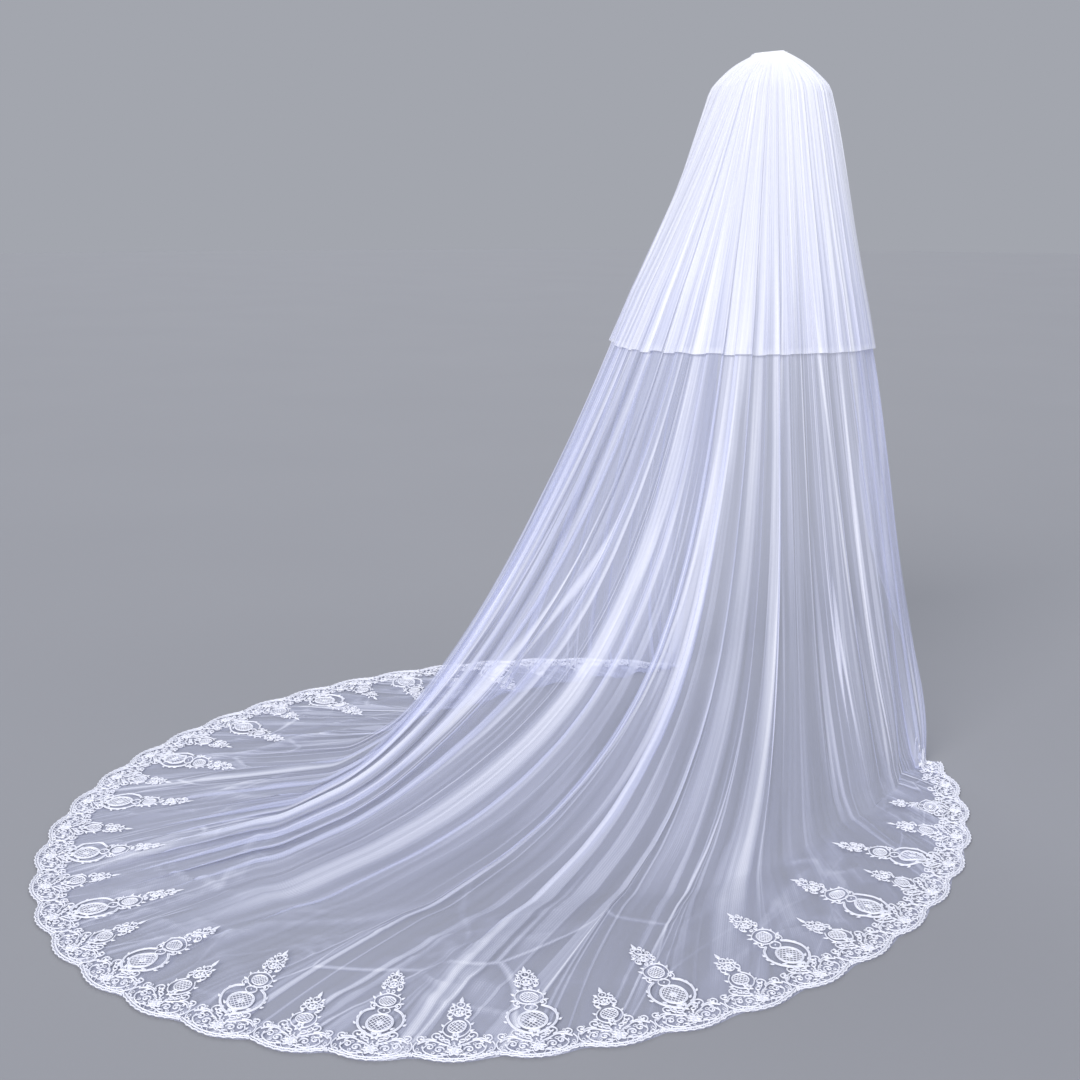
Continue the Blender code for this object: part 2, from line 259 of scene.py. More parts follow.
# How much of that sweep is there: stage, share. On the floor they keep their new way to the hem
SWEEP_ON = ((1.3, 0.0), (1.48, 0.12), (1.6, 0.24), (1.72, 0.45), (1.86, 0.78), (2.0, 1.0), (3.0, 1.0))
# A slow wave, so that no fold runs straight: degrees, radians to a stage, degrees to a radian
FOLD_WANDER = (0.7, 2.3, 9)
print(f"{len(FOLDS)} large folds, {1000 * FOLDS[:, 1].min():.0f} to {1000 * FOLDS[:, 1].max():.0f} mm deep")

# %% Place the narrow pleats that lie double
# turn at the shoulders, drift, half width there and at the end, last stage, layers
BANDS = (
    (1.0, 0.0, 1.3, 0.9, 2.7, 1.8),
    (5.8, 0.0, 0.8, 0.7, 2.5, 1.6),
    (11.6, 0.0, 0.6, 0.4, 2.7, 2.8),
    (21.8, 0.0, 0.7, 0.45, 2.7, 2.6),
    (25.6, 0.5, 0.5, 0.4, 2.2, 2.0),
    (33.5, -1.0, 5.2, 1.9, 1.96, 1.6),
    (30.2, -1.0, 0.45, 0.4, 2.0, 1.8),
    (43.0, -0.6, 0.55, 0.5, 2.2, 2.4),
    (48.6, -0.4, 0.5, 0.6, 2.7, 3.4),
    (50.6, -0.4, 0.4, 0.5, 2.6, 3.0),
    (53.6, 1.0, 0.5, 0.35, 1.9, 1.0),
    (60.3, 0.0, 0.5, 0.35, 2.0, 2.4),
    (65.6, 0.0, 0.4, 0.35, 1.95, 1.8),
    (72.0, 1.0, 0.3, 0.3, 2.2, 0.9),
    (79.0, 0.0, 0.4, 0.3, 1.95, 1.6),
    (86.5, 0.0, 0.6, 0.4, 2.05, 2.8),
    (99.0, 0.0, 0.4, 0.3, 2.05, 1.2),
    (-5.0, 0.0, 0.5, 0.4, 2.6, 1.8),
    (-12.0, 0.0, 0.7, 0.5, 2.7, 1.6),
    (-20.5, 0.0, 0.5, 0.5, 2.5, 1.8),
    (-31.0, 0.0, 0.9, 0.6, 2.6, 2.0),
    (-42.0, 0.0, 0.6, 0.5, 2.3, 1.8),
    (-50.0, 0.0, 1.0, 0.7, 2.4, 2.0),
    (-62.0, 0.0, 0.5, 0.4, 2.1, 1.6),
    (-73.0, 0.0, 1.4, 0.8, 2.1, 1.6),
    (-84.0, 0.0, 0.5, 0.4, 2.1, 1.8),
    (-94.0, 0.0, 0.8, 0.6, 2.05, 2.0),
)
# The stages where they begin to show, to narrow and to show in full, how long they fade, how soft a side is
BANDS_FROM, BANDS_NARROW, BANDS_FULL, BANDS_FADE = 0.9, 1.2, 1.3, 0.7
BAND_SIDE = 0.25
print(f"{len(BANDS)} narrow pleats that lie double")

# %% Scatter the fine pleats and the creases on the floor
seeded = np.random.default_rng(20)


def scatter_pleats(count, first, last):
    """Turn at the shoulders, drift to the floor, half width, height, first and last stage, layers."""
    place = (np.arange(count) + seeded.uniform(0.1, 0.9, count)) / count
    return np.stack(
        [
            (2 * place - 1) * (WRAP - 3),
            seeded.normal(0, 1.8, count),
            seeded.uniform(0.35, 1.0, count),
            seeded.uniform(0.001, 0.0045, count),
            seeded.uniform(*first, count),
            seeded.uniform(*last, count),
            seeded.uniform(0.2, 0.9, count) ** 2,
        ],
        axis=1,
    )


def scatter_creases(count):
    """Turn and stage of both ends, half width, height, waviness, layers."""
    start_stage = seeded.uniform(1.98, 2.55, count)
    start_turn = seeded.uniform(-95, 95, count)
    return np.stack(
        [
            start_turn,
            start_stage,
            start_turn + seeded.normal(0, 5.0, count),
            np.minimum(start_stage + seeded.uniform(0.15, 0.75, count), 2.93),
            seeded.uniform(0.0055, 0.0110, count),
            seeded.uniform(0.0015, 0.0050, count),
            seeded.uniform(0.0, 0.6, count),
            seeded.uniform(0.2, 1.4, count),
        ],
        axis=1,
    )


long_pleats = scatter_pleats(150, (0.05, 1.3), (1.7, 2.9))
short_pleats = scatter_pleats(90, (0.05, 0.6), (2.2, 2.4))
creases = scatter_creases(190)
print(f"{len(long_pleats)} and {len(short_pleats)} fine pleats, {len(creases)} creases on the floor")


# %% Draw the pleats, creases and doubled strips on the cloth
def bump(distance):
    return np.exp(-(distance**2))


def ramp_in_out(x, first, last, ease):
    """0 before first and after last, 1 between, with a ramp at each end."""
    return np.clip((x - first) / ease, 0, 1) * np.clip((last - x) / ease, 0, 1)


def add_pleats(turn, stage, pleats, height, layers):
    """Adds to height and layers. Fine pleats lie lower near the hem."""
    for at, drift, width, rise, first, last, more in pleats:
        near = bump((turn - at - drift * (stage - 1)) / width) * ramp_in_out(stage, first, last, 0.3)
        height += rise * near * np.clip(2.8 - stage, 0.15, 1)
        layers += more * near


def add_creases(turn, stage, floor_creases, height, layers):
    """Adds the creases on the floor, which lie about 0.9 m out from the comb."""
    metres = math.radians(1.0) * 0.9
    for turn_0, stage_0, turn_1, stage_1, width, rise, wave, more in floor_creases:
        t = np.clip((stage - stage_0) / (stage_1 - stage_0), 0, 1)
        line = turn_0 + (turn_1 - turn_0) * t + wave * np.sin(17 * t + turn_0)
        near = bump((turn - line) * metres / width) * ramp_in_out(stage, stage_0, stage_1, 0.12)
        height += rise * near
        layers += more * near


def add_bands(turn, stage, layers):
    """Adds the narrow pleats. They lie flat, so only their layers show."""
    for at, drift, wide, narrow, last, more in BANDS:
        half = np.interp(stage, (BANDS_NARROW, last), (wide, narrow))
        off = np.abs(turn - at - drift * (stage - BANDS_FULL))
        side = np.clip((half - off) / BAND_SIDE + 0.5, 0, 1)
        begun = np.clip((stage - BANDS_FROM) / (BANDS_FULL - BANDS_FROM), 0, 1)
        layers += more * side * begun * np.clip((last - stage) / BANDS_FADE, 0, 1)


# %% Fold the cloth
def soft(x, table, width):
    """Reads a table of pairs at x, with its corners rounded over a width."""
    return sum(np.interp(x + width * k, *zip(*table)) for k in (-1, -0.5, 0, 0.5, 1)) / 5


def fold_at(turn):
    """Where a turn lies on its fold, from -1 to 1, and the fold's depth, lean, roll and half width."""
    crest = FOLDS[:, 0]
    ends = np.concatenate(([-WRAP], (crest[1:] + crest[:-1]) / 2, [WRAP]))
    row = np.clip(np.searchsorted(ends, turn, side="right") - 1, 0, len(crest) - 1)
    low, high = crest[row] - ends[row], ends[row + 1] - crest[row]
    place = np.where(turn < crest[row], (turn - crest[row]) / low, (turn - crest[row]) / high)
    return place, FOLDS[row, 1], FOLDS[row, 2], FOLDS[row, 3], np.where(place < 0, low, high)


def swept(turn, stage):
    """How far the folds are swept round, and how much that spreads the cloth."""
    on = soft(stage, SWEEP_ON, 0.12)
    sweep = soft(turn, SWEEP, 5.0) * np.clip((WRAP - np.abs(turn)) / 6, 0, 1) * on
    return sweep, 1 + on * (soft(turn + 2, SWEEP, 5.0) - soft(turn - 2, SWEEP, 5.0)) / 4


def draped(turn, stage, pleats, lift, floor_creases=()):
    """The cloth's points, and how many layers thick it looks. turn and stage are arrays of one shape."""
    layers = np.interp(stage, *zip(*GATHERS))
    height = np.zeros_like(turn)
    add_pleats(turn, stage, pleats, height, layers)
    add_creases(turn, stage, floor_creases, height, layers)
    add_bands(turn, stage, layers)
    sweep, spread = swept(turn, stage)
    layers = layers / np.sqrt(np.clip(spread, 0.6, 1.3))
    place, depth, lean, roll, half = fold_at(turn)
    share = np.interp(stage, *zip(*FOLD_FADE))
    crest = np.cos(place * math.pi / 2) ** 2
    tuck = roll * np.interp(stage, *zip(*ROLL_FADE)) / (2 * math.pi) * np.sin(2 * math.pi * place)
    most, fast, slow = FOLD_WANDER
    wander = most * np.sin(fast * stage + turn / slow) * np.clip(stage - 1, 0, 1) * np.clip(3 - stage, 0, 1)
    moved = turn + half * (tuck + lean * FOLD_LEAN * crest * share) + wander + sweep
    moved = np.clip(moved, -WRAP, WRAP)
    x, y, z = base_point(moved, stage)
    step = 1e-3
    x0, y0, z0 = base_point(moved, np.maximum(stage - step, 0))
    x1, y1, z1 = base_point(moved, np.minimum(stage + step, 2.999))
    dx, dy = ray(moved)
    along, fall = (x1 - x0) * dx + (y1 - y0) * dy, z0 - z1
    level, up = np.array([fall, along]) / np.maximum(np.hypot(along, fall), 1e-9)
    out = depth * crest * share + height + lift
    return np.stack([x + dx * level * out, y + dy * level * out, z + up * out], axis=-1), layers


# %% [markdown]
# ## The long tier
# On the real veil this is one sheet of soft nylon tulle, cut as a long oval. A grid primitive is the natural
# start: one column for each thread line and one row for each stage, then every point is moved to its place.
# The rows lie closer near the comb and where the cloth lands, as it turns most there.

# %% Make a sheet from a grid
def sheet_grid(name, turns, stages, pleats, lift, fullness, floor_creases=()):
    """A grid moved to the drape, with its layers attribute and a UV map in metres of cloth."""
    bpy.ops.object.select_all(action="DESELECT")
    bpy.ops.mesh.primitive_grid_add(
        x_subdivisions=len(turns) - 1, y_subdivisions=len(stages) - 1, size=1, calc_uvs=True
    )
    sheet = bpy.context.object
    sheet.name = name
    mesh = sheet.data
    mesh.name = name
    turn, stage = np.meshgrid(turns, stages)
    lifts = np.interp(stage, (0.0, 1.0), lift)
    points, layers = draped(turn, stage, pleats, lifts, floor_creases)
    layers *= fullness
    mesh.vertices.foreach_set("co", points.reshape(-1, 3).astype(np.float32).ravel())
    cover = mesh.attributes.new("layers", "FLOAT", "POINT")
    cover.data.foreach_set("value", layers.ravel().astype(np.float32))
    run = np.linalg.norm(np.diff(points, axis=0), axis=2).mean(axis=1)
    down = np.concatenate(([0.0], np.cumsum(run)))
    across = np.interp(turns, hem_turn, hem_length)
    lengths = np.stack(np.meshgrid(across, down), axis=-1).reshape(-1, 2)
    corner = np.empty(len(mesh.loops), np.int32)
    mesh.loops.foreach_get("vertex_index", corner)
    mesh.uv_layers[0].name = "cloth"
    mesh.uv_layers[0].data.foreach_set("uv", lengths[corner].astype(np.float32).ravel())
    mesh.update()
    bpy.ops.object.shade_smooth()
    a, b, c, d = points[:-1, :-1], points[1:, :-1], points[1:, 1:], points[:-1, 1:]
    doubled = np.cross(b - a, c - a), np.cross(c - a, d - a)
    area = sum(np.linalg.norm(normal, axis=-1).sum() / 2 for normal in doubled)
    print(f"{name}: {2 * len(mesh.polygons)} triangles, {area:.2f} m2, {down[-1]:.2f} m down the cloth")
    return sheet, points


long_stages = np.concatenate(
    [np.linspace(0, 1, 22)[:-1], 1 + np.linspace(0, 1, 95)[:-1], 2 + np.linspace(0, 1, 72)]
)
long_turns = np.linspace(-WRAP, WRAP, 521)
long_tier, long_points = sheet_grid(
    "long_tier_tulle", long_turns, long_stages, long_pleats, (0.0, 0.0), 1.0, creases
)

# %% [markdown]
# ## The upper tier
# The short tier hangs from the same gathers, outside the long one, and its lower edge is simply cut. It is
# another grid on the same rule, stopped at the cut and lifted off the cloth under it. It is much fuller than
# this mesh shows, so its layers are multiplied. A raw edge of tulle catches the light, so the rows and
# columns along the cut and the front edges are drawn as if the net were several layers thick there. Under
# the lace the long tier is doubled, which keeps the border from looking laid on nothing.

# %% Make the upper tier and brighten the cut edges
TIER_LIFT = (0.0025, 0.0080)
TIER_FULLNESS = 2.1
fall = 1 - (TIER_DROP - SHOULDER_DROP) / (COMB_HEIGHT - SHOULDER_DROP)
tier_end = 2 - fall ** (1 / FLOOR_EASE)
tier_stages = np.concatenate(
    [np.linspace(0, 1, 22)[:-1], np.linspace(1, tier_end - 0.003, 34)[:-1], [tier_end - 0.0015, tier_end]]
)
tier_turns = np.linspace(-TIER_WRAP, TIER_WRAP, 491)
upper_tier, tier_points = sheet_grid(
    "upper_tier_tulle", tier_turns, tier_stages, short_pleats, TIER_LIFT, TIER_FULLNESS
)


def brighten(sheet, shape, places, layers):
    """Raises the layers attribute at rows or columns of a grid sheet, picked by an index of the grid."""
    attribute = sheet.data.attributes["layers"].data
    values = np.empty(len(attribute), np.float32)
    attribute.foreach_get("value", values)
    grid = values.reshape(shape)
    grid[places] = np.maximum(grid[places], layers)
    attribute.foreach_set("value", values)


FRONT_EDGES = np.s_[:, [0, -1]]
brighten(upper_tier, tier_points.shape[:2], np.s_[-2:, :], 5.0)
brighten(upper_tier, tier_points.shape[:2], FRONT_EDGES, 4.0)
brighten(long_tier, long_points.shape[:2], FRONT_EDGES, 4.0)
brighten(long_tier, long_points.shape[:2], np.s_[-9:, :], 2.0)

# %% [markdown]
# ## Corded lace
# The hem is bordered with corded lace: a pattern couched onto the net in a soft round cord, with satin
# leaves and small beads between. A picture of lace would do from far off, but here each cord is modelled:
# its line is drawn flat as a curve with a round bevel and made a mesh. One scallop of the border, one tall
# spray and one short spray are drawn once, and each copy gets its own mesh, bent along the hem and laid on
# the cloth. x runs along the hem, y in from its edge.

# %% Lines that the lace is drawn from
LINE_STEP = 0.0032


def line_between(*points):
    """A smooth line through a few points (Catmull-Rom), with a point about every step."""
    at = np.array(points, float)
    padded = np.vstack([2 * at[0] - at[1], at, 2 * at[-1] - at[-2]])
    drawn = []
    for a, b, c, d in zip(padded, padded[1:], padded[2:], padded[3:]):
        count = max(2, int(np.linalg.norm(c - b) / LINE_STEP))
        t = np.arange(count)[:, None] / count
        bend, twist = 2 * a - 5 * b + 4 * c - d, 3 * b - a - 3 * c + d
        drawn.append(0.5 * (2 * b + (c - a) * t + bend * t**2 + twist * t**3))
    return np.vstack([*drawn, at[-1:]])


def oval(x, y, wide, high, sides, tilt=0.0):
    """A closed oval round x, y, with its half width and half height."""
    a = np.arange(sides + 1) / sides * 2 * math.pi
    u, v = wide * np.sin(a), high * np.cos(a)
    c, s = math.cos(tilt), math.sin(tilt)
    return np.stack([x + u * c - v * s, y + u * s + v * c], axis=1)


def scroll(x, y, radius, start, turns, hand=1):
    """A volute that starts at its outer end and winds in. start is its first angle, in turns."""
    count = max(8, int(22 * turns))
    t = np.arange(count + 1) / count
    a = 2 * math.pi * (start + hand * turns * t)
    r = radius * (1 - 0.80 * t)
    return np.stack([x + r * np.cos(a), y + r * np.sin(a)], axis=1)


def leaf(x, y, long, wide, tilt):
    """A pointed leaf from its root at x, y. A tilt of 0 points in from the hem."""
    t = np.array([0, 0.18, 0.42, 0.7, 1.0, 0.7, 0.42, 0.18, 0])
    w = np.array([0, 0.75, 1.0, 0.62, 0, -0.62, -1.0, -0.75, 0]) * wide / 2
    c, s = math.cos(tilt), math.sin(tilt)
    return np.stack([x + w * c - long * t * s, y + w * s + long * t * c], axis=1)


def mirrored(lines):
    return lines + [line * (-1, 1) for line in lines]


def both_sides(*places):
    return [(side * x, y) for side in (1, -1) for x, y in places]


def lattice(x, y, wide, high, gap):
    """Crossed threads that fill an oval."""
    lines = []
    reach = int((wide + high) / gap) + 1
    for way in (1, -1):
        for k in range(-reach, reach + 1):
            t = np.linspace(-1.5, 1.5, 61)
            u = k * gap + t * high
            v = way * t * high
            keep = (u / wide) ** 2 + (v / high) ** 2 <= 0.94
            if keep.sum() > 3:
                inside = np.stack([x + u[keep], y + v[keep]], axis=1)
                lines.append(inside[[0, -1]])
    return lines


def flower(x, y, radius, petals, phase=0.0):
    """Petals round a middle, each one a leaf."""
    lines = []
    root = radius * 0.18
    for k in range(petals):
        a = 2 * math.pi * (k + phase) / petals
        lines.append(leaf(x - root * math.sin(a), y + root * math.cos(a), radius * 0.9, radius * 0.62, a))
    return lines


# %% Turn drawn lines into cords
CORD = 0.0015
FINE_CORD = 0.0008


def link(name, data):
    made = bpy.data.objects.new(name, data)
    bpy.context.collection.objects.link(made)
    return made


def pick(*pieces):
    """Selects just these, the first one active."""
    bpy.ops.object.select_all(action="DESELECT")
    for piece in pieces:
        piece.select_set(True)
    bpy.context.view_layer.objects.active = pieces[0]


def as_mesh(name, lines, radius):
    """Draws lines as one curve with a round bevel, four-sided as it is so thin, and makes it a mesh."""
    curve = bpy.data.curves.new(name, "CURVE")
    curve.dimensions = "3D"
    curve.bevel_depth = radius
    curve.bevel_resolution = 0
    for line in lines:
        closed = np.linalg.norm(line[0] - line[-1]) < 1e-6
        drawn = line[:-1] if closed else line
        spline = curve.splines.new("POLY")
        spline.points.add(len(drawn) - 1)
        spline.use_cyclic_u = bool(closed)
        flat = np.column_stack([drawn, np.full(len(drawn), radius * 0.8), np.ones(len(drawn))])
        spline.points.foreach_set("co", flat.astype(np.float32).ravel())
    pick(link(name, curve))
    bpy.ops.object.convert(target="MESH")
    return bpy.context.object


# %% Turn outlines into leaves, and places into beads
def filled(name, outlines, thick):
    """Satin-stitched shapes: each outline is a thin plate, domed by a raised middle."""
    points, faces = [], []
    for line in outlines:
        rim = line[:-1]
        first, count = len(points), len(rim)
        middle = rim.mean(axis=0)
        points += [(px, py, 0.0002) for px, py in rim]
        points += [(*(middle + (p - middle) * 0.72), thick) for p in rim]
        points.append((*middle, thick * 1.35))
        for i in range(count):
            j = (i + 1) % count
            faces.append((first + i, first + j, first + count + j, first + count + i))
            faces.append((first + count + i, first + count + j, first + 2 * count))
    mesh = bpy.data.meshes.new(name)
    mesh.from_pydata(points, [], faces)
    return link(name, mesh)


def beads(name, places, radius):
    """One small ball, modelled once and stamped at each place."""
    bpy.ops.object.select_all(action="DESELECT")
    bpy.ops.mesh.primitive_ico_sphere_add(subdivisions=1, radius=radius)
    ball = bpy.context.object
    shape = np.array([v.co for v in ball.data.vertices])
    sides = [tuple(p.vertices) for p in ball.data.polygons]
    bpy.data.objects.remove(ball, do_unlink=True)
    points = [tuple(shape_point + (x, y, radius)) for x, y in places for shape_point in shape]
    faces = [tuple(len(shape) * k + i for i in side) for k in range(len(places)) for side in sides]
    mesh = bpy.data.meshes.new(name)
    mesh.from_pydata(points, [], faces)
    return link(name, mesh)


# %% Keep a motif for stamping
LEAF_THICK = 0.0011
BEAD = 0.0017
lace_stock = {}


def keep_stock(name, thick_lines, fine_lines, leaves, bead_places):
    """Joins the parts of one motif and keeps its points and faces."""
    pick(
        as_mesh(name, thick_lines, CORD),
        as_mesh(name + "_fine", fine_lines, FINE_CORD),
        filled(name + "_leaves", leaves, LEAF_THICK),
        beads(name + "_beads", bead_places, BEAD),
    )
    bpy.ops.object.join()
    motif = bpy.context.object
    bpy.ops.object.mode_set(mode="EDIT")
    bpy.ops.mesh.select_all(action="SELECT")
    bpy.ops.mesh.normals_make_consistent(inside=False)
    bpy.ops.object.mode_set(mode="OBJECT")
    mesh = motif.data
    points = np.empty(len(mesh.vertices) * 3, np.float32)
    mesh.vertices.foreach_get("co", points)
    faces = [tuple(p.vertices) for p in mesh.polygons]
    lace_stock[name] = points.reshape(-1, 3), faces
    print(f"{name}: {sum(len(f) - 2 for f in faces)} triangles")
    bpy.data.objects.remove(motif, do_unlink=True)


# %% [markdown]
# ### One scallop of the border
# Its edge is a double cord with a row of small loops between, a flower sits in the belly, scrolled stems
# run from it to both notches, and leaves fill the spaces. Each scallop is mirrored about its middle, as a
# machine-made lace is.

# %% Draw a scallop
half_pitch = PITCH / 2
edge_x = np.linspace(-half_pitch, half_pitch, 61)
picots = 0.0024 * np.abs(np.sin(edge_x / PITCH * math.pi * 9)) + 0.0012
edge = np.column_stack([edge_x, notch(edge_x) + picots])
inner_edge = np.column_stack([edge_x * 0.985, notch(edge_x) * 0.92 + 0.0085])
loop_x = np.linspace(-half_pitch, half_pitch, 17)[:-1] + PITCH / 32
edge_loops = [oval(x, notch(x) + 0.0056, 0.0030, 0.0021, 7) for x in loop_x]
belly = flower(0, 0.031, 0.0135, 7)
stems = mirrored(
    [
        line_between((0.010, 0.020), (0.026, 0.0165), (0.042, 0.022), (0.051, 0.033), (0.046, 0.043)),
        scroll(0.0405, 0.0395, 0.0078, 0.1, 1.15),
        line_between((0.008, 0.042), (0.022, 0.049), (0.036, 0.056), (0.050, 0.054), (0.061, 0.046)),
        scroll(0.0245, 0.0325, 0.0088, 0.55, 1.2, -1),
        scroll(0.0560, 0.0615, 0.0085, 0.75, 1.2),
        scroll(0.0300, 0.0690, 0.0105, 0.75, 1.25),
        line_between((0.0555, 0.0528), (0.048, 0.0600), (0.040, 0.0600), (0.031, 0.0577)),
        line_between((0.060, 0.0240), (0.0655, 0.032), (0.0665, 0.043), (0.063, 0.051)),
        oval(0.0555, 0.0225, 0.0045, 0.0032, 9, 0.5),
        oval(0.0130, 0.0555, 0.0052, 0.0034, 10, 0.5),
    ]
)
small_rings = mirrored(
    [
        oval(0.0200, 0.0585, 0.0030, 0.0030, 8),
        oval(0.0335, 0.0255, 0.0030, 0.0026, 8),
        oval(0.0340, 0.0470, 0.0032, 0.0026, 8),
        oval(0.0460, 0.0500, 0.0026, 0.0026, 8),
        oval(0.0425, 0.0165, 0.0032, 0.0022, 8, 0.4),
        oval(0.0165, 0.0455, 0.0030, 0.0024, 8),
        oval(0.0600, 0.0330, 0.0028, 0.0036, 8),
        oval(0.0505, 0.0665, 0.0022, 0.0022, 7),
    ]
)
ground_x = 0.004 + 0.0095 * np.arange(5)
ground_y = 0.0095 + 0.0011 * np.arange(5)
ground = mirrored(
    [line_between((x, y), (x + 0.006, 0.0175), (x, 0.0250)) for x, y in zip(ground_x, ground_y)]
)
border_leaves = (
    flower(0, 0.031, 0.0105, 7)
    + mirrored(
        [
            leaf(0.0125, 0.0205, 0.0125, 0.0052, -1.15),
            leaf(0.0265, 0.0170, 0.0110, 0.0046, -1.75),
            leaf(0.0440, 0.0235, 0.0110, 0.0048, -2.2),
            leaf(0.0500, 0.0350, 0.0105, 0.0048, -0.35),
            leaf(0.0170, 0.0500, 0.0110, 0.0046, -1.9),
            leaf(0.0300, 0.0545, 0.0120, 0.0050, -0.55),
            leaf(0.0420, 0.0560, 0.0105, 0.0046, -2.3),
            leaf(0.0620, 0.0470, 0.0110, 0.0046, 0.6),
            leaf(0.0060, 0.0440, 0.0120, 0.0048, -0.4),
            leaf(0.0650, 0.0215, 0.0085, 0.0040, 0.9),
        ]
    )
)
border_beads = [(0.0, 0.031), (0.0, 0.0485)] + both_sides(
    (0.0405, 0.0395), (0.0245, 0.0325), (0.0300, 0.0655), (0.0555, 0.0600), (0.0665, 0.0150), (0.0180, 0.0140)
)
cords = [edge, inner_edge] + belly + stems
keep_stock("scallop", cords, edge_loops + small_rings + ground, border_leaves, border_beads)

# %% [markdown]
# ### The two sprays
# A tall spray stands over one scallop and a short one over the next. The tall one is a lyre of two stems
# round an oval filled with crossed threads, a smaller oval over it, and a head of corded knobs with a flower
# in its middle, leaves at its sides and one pointed leaf on top. The short one is a small filled oval with a
# head of its own. Each copy is made a little taller, wider or more leaning than the next when it is laid.

# %% Draw the tall spray
tall_stems = mirrored(
    [
        line_between(
            (0.003, 0.062), (0.021, 0.071), (0.040, 0.090), (0.0465, 0.114), (0.038, 0.136), (0.021, 0.148)
        ),
        line_between(
            (0.003, 0.065), (0.020, 0.0735), (0.038, 0.0915), (0.0440, 0.114), (0.036, 0.134), (0.020, 0.1455)
        ),
        scroll(0.0245, 0.1560, 0.0085, 0.75, 1.2),
        scroll(0.0210, 0.0640, 0.0070, 0.25, 1.2, -1),
        line_between(
            (0.0, 0.149), (0.016, 0.154), (0.0270, 0.166), (0.0260, 0.181), (0.012, 0.191), (0.0, 0.1945)
        ),
        line_between((0.0, 0.152), (0.007, 0.149), (0.0125, 0.143), (0.0105, 0.136), (0.0, 0.130)),
    ]
)
tall_ovals = [
    oval(0, 0.104, 0.0265, 0.0270, 24),
    oval(0, 0.104, 0.0240, 0.0245, 22),
    oval(0, 0.171, 0.0180, 0.0140, 18),
]
tall_head = [oval(0, 0.2210, 0.0125, 0.0120, 15), oval(0, 0.2435, 0.0088, 0.0080, 12)]
tall_head += mirrored(
    [
        oval(0.0190, 0.2140, 0.0058, 0.0060, 10, 0.5),
        oval(0.0172, 0.2320, 0.0052, 0.0056, 10, 0.5),
        oval(0.0100, 0.2520, 0.0040, 0.0046, 9, 0.5),
        oval(0.0060, 0.2000, 0.0036, 0.0034, 9),
    ]
)
foot_leaves = [
    leaf(0.0150 + 0.004 * k, 0.066 + 0.010 * k, 0.0120, 0.0056, -1.45 + 0.25 * k) for k in range(3)
]
side_leaves = [leaf(0.0455, 0.098 + 0.013 * k, 0.0105, 0.0054, -0.9 + 0.5 * k) for k in range(3)]
tall_leaves = mirrored(
    [
        leaf(0.0120, 0.2060, 0.0130, 0.0070, -1.3),
        leaf(0.0185, 0.2240, 0.0110, 0.0064, -1.2),
        leaf(0.0120, 0.2420, 0.0120, 0.0068, -0.9),
        *foot_leaves,
        *side_leaves,
        leaf(0.0260, 0.163, 0.0130, 0.0062, -1.35),
        leaf(0.0265, 0.177, 0.0130, 0.0062, -0.9),
        leaf(0.0170, 0.188, 0.0120, 0.0060, -0.7),
    ]
)
tall_leaves += [leaf(0, 0.2490, 0.0250, 0.0105, 0.0)] + flower(0, 0.0685, 0.0130, 7)
tall_leaves += flower(0, 0.2210, 0.0108, 6) + flower(0, 0.104, 0.0085, 6)
tall_beads = [(0, y) for y in (0.0685, 0.0775, 0.104, 0.141, 0.171, 0.2210, 0.2435)]
tall_beads += both_sides((0.0245, 0.1560), (0.0190, 0.2140), (0.0172, 0.2320))
tall_threads = lattice(0, 0.104, 0.0240, 0.0245, 0.0092) + lattice(0, 0.171, 0.0180, 0.0140, 0.0068)
keep_stock("tall_spray", tall_stems + tall_ovals + tall_head, tall_threads, tall_leaves, tall_beads)

# %% Draw the short spray
short_stems = mirrored(
    [
        line_between((0.003, 0.064), (0.016, 0.071), (0.0245, 0.084), (0.0220, 0.099), (0.012, 0.110)),
        scroll(0.0215, 0.0630, 0.0065, 0.25, 1.2, -1),
    ]
)
short_head = [
    oval(0, 0.092, 0.0165, 0.0150, 18),
    oval(0, 0.1300, 0.0115, 0.0112, 15),
    oval(0, 0.1495, 0.0078, 0.0072, 12),
]
short_head += mirrored(
    [oval(0.0172, 0.1240, 0.0052, 0.0056, 9, 0.5), oval(0.0150, 0.1400, 0.0045, 0.0050, 9, 0.5)]
)
short_leaves = mirrored(
    [
        leaf(0.0100, 0.1140, 0.0120, 0.0066, -1.3),
        leaf(0.0150, 0.1320, 0.0100, 0.0060, -1.2),
        leaf(0.0100, 0.1480, 0.0110, 0.0064, -0.9),
        leaf(0.0225, 0.080, 0.0110, 0.0054, -1.2),
        leaf(0.0230, 0.095, 0.0110, 0.0054, -0.8),
    ]
)
short_leaves += [leaf(0, 0.1550, 0.0220, 0.0095, 0.0)]
short_leaves += flower(0, 0.0680, 0.0110, 6, 0.5) + flower(0, 0.1300, 0.0100, 6)
short_beads = [(0, y) for y in (0.0680, 0.092, 0.1300, 0.1495)]
short_threads = lattice(0, 0.092, 0.0165, 0.0150, 0.0078)
keep_stock("short_spray", short_stems + short_head, short_threads, short_leaves, short_beads)

# %% [markdown]
# ### Lay the lace on the cloth
# A grid of rays is dropped on the long tier once, so that each point of lace can read how high the cloth is
# under it. Then each copy is bent to the hem: its x becomes a length along the hem and its y a depth in.

# %% Read the cloth's height along the hem
PROBE_RISE = 0.10
TOP_OF_CLOTH = FLOOR + TULLE
surface = BVHTree.FromPolygons(
    [tuple(p) for p in long_points.reshape(-1, 3)], [tuple(p.vertices) for p in long_tier.data.polygons]
)
probe_along = np.linspace(-HALF_HEM, HALF_HEM, 1201)
probe_depth = np.linspace(0.0, 0.30, 41)


def on_hem(along, depth):
    """Where a length along the hem and a depth in from it are, seen from above."""
    at = [np.interp(along, hem_length, hem_point[:, i]) for i in (0, 1)]
    way = [np.interp(along, hem_length, hem_inward[:, i]) for i in (0, 1)]
    return at[0] + way[0] * depth, at[1] + way[1] * depth


